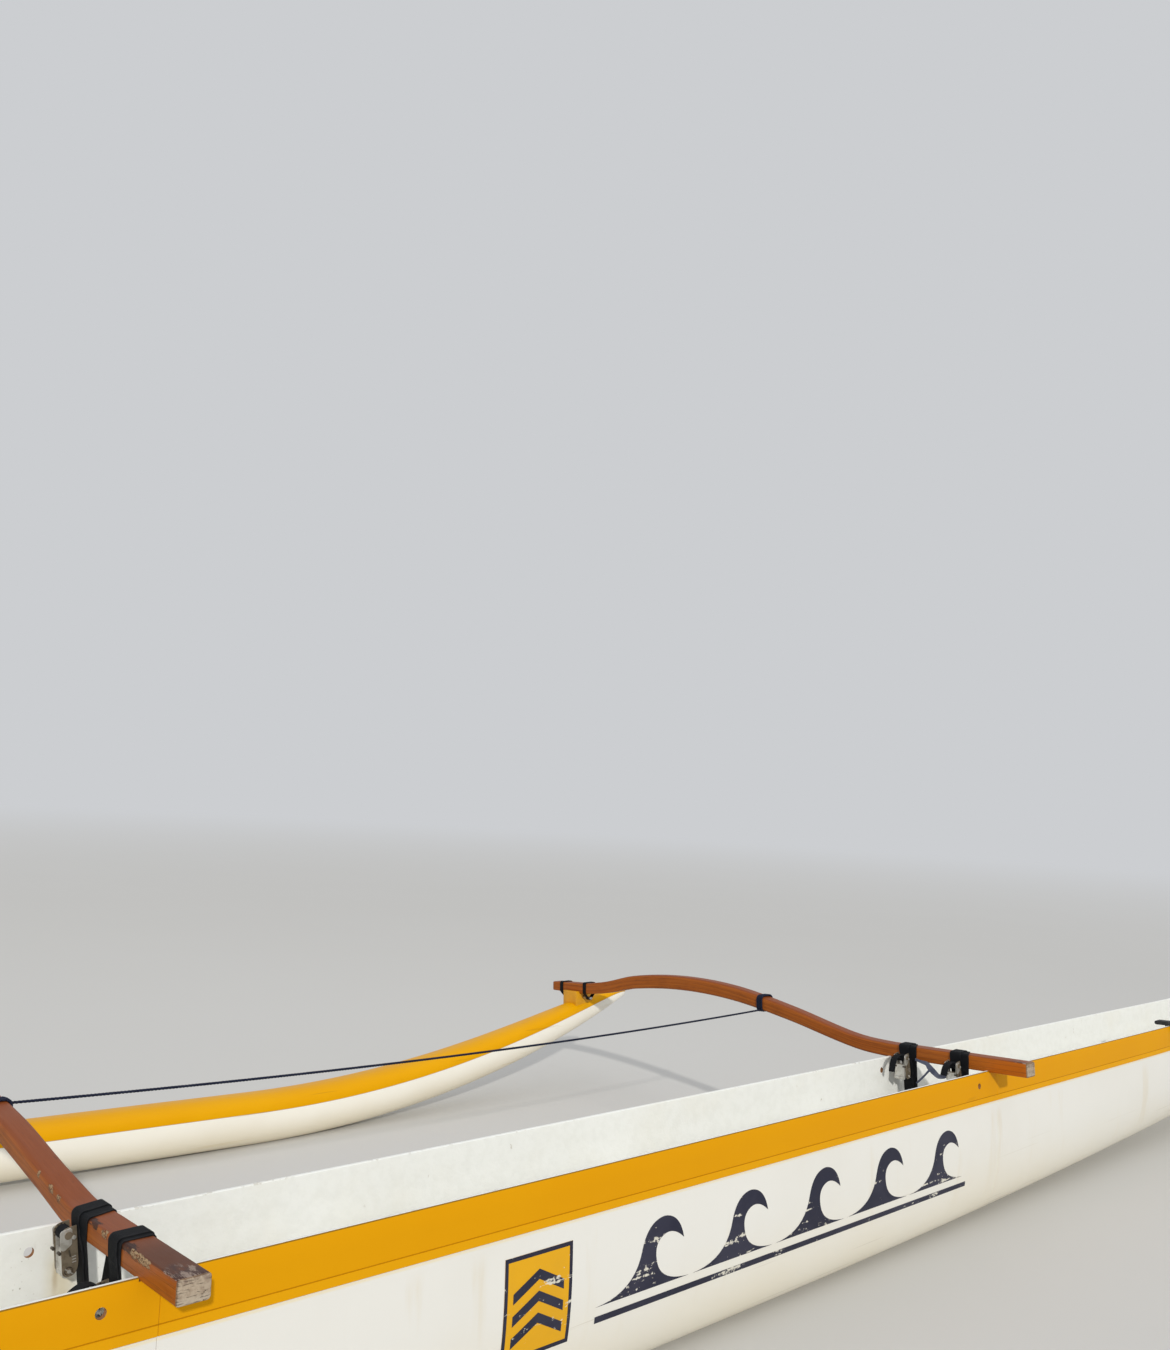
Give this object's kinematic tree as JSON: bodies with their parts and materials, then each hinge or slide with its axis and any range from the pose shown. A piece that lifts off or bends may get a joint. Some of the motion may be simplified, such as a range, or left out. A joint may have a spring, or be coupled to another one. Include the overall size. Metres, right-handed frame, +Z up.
{
  "type": "outrigger canoe",
  "caption": "Long open paddling canoe with a white hull and yellow gunwale band, two curved wooden cross beams strapped across it and a slender outrigger float to port.",
  "frame": {"origin": "on the ground, under the middle of the whole canoe's box", "axes": "+X towards the bow, +Y to port (the float side), +Z up; the canoe leans 4.3 degrees to port, as it rests on hull and float"},
  "size_m": [13.6, 2.9534, 0.8256],
  "materials": {
    "hull_white": "worn white gelcoat, yellow band under the gunwale",
    "deck_yellow": "yellow gelcoat",
    "float": "yellow gelcoat over white",
    "wood": "weathered varnish",
    "webbing": "woven polyester",
    "steel": "dull zinc plate",
    "tube": "anodised",
    "rope": "braided navy rope",
    "guard": "moulded black"
  },
  "bodies": {
    "root": {"hull_bow_section": "hull_white", "hull_mid_section": "hull_white", "hull_stern_section": "hull_white", "bow_stem": "hull_white", "stern_stem": "hull_white", "fore_deck": "hull_white", "aft_deck": "hull_white", "fore_bulkhead": "hull_white", "aft_bulkhead": "hull_white", "splash_guard": "guard", "seat_1": "hull_white", "seat_2": "hull_white", "seat_3": "hull_white", "seat_4": "hull_white", "seat_5": "hull_white", "seat_6": "hull_white", "front_iako": "wood", "rear_iako": "wood", "ama": "float", "front_ama_saddle": "deck_yellow", "rear_ama_saddle": "deck_yellow", "front_ama_rod": "tube", "rear_ama_rod": "tube", "front_ama_strap_inner": "webbing", "front_ama_strap_outer": "webbing", "rear_ama_strap_inner": "webbing", "rear_ama_strap_outer": "webbing", "front_strap_bar": "tube", "rear_strap_bar": "tube", "front_port_strap": "webbing", "front_starboard_strap": "webbing", "rear_port_strap": "webbing", "rear_starboard_strap": "webbing", "front_port_ratchet": "steel", "front_starboard_ratchet": "steel", "rear_port_ratchet": "steel", "rear_starboard_ratchet": "steel", "iako_line": "rope", "gunwale_pad": "guard"}
  },
  "joints": []
}
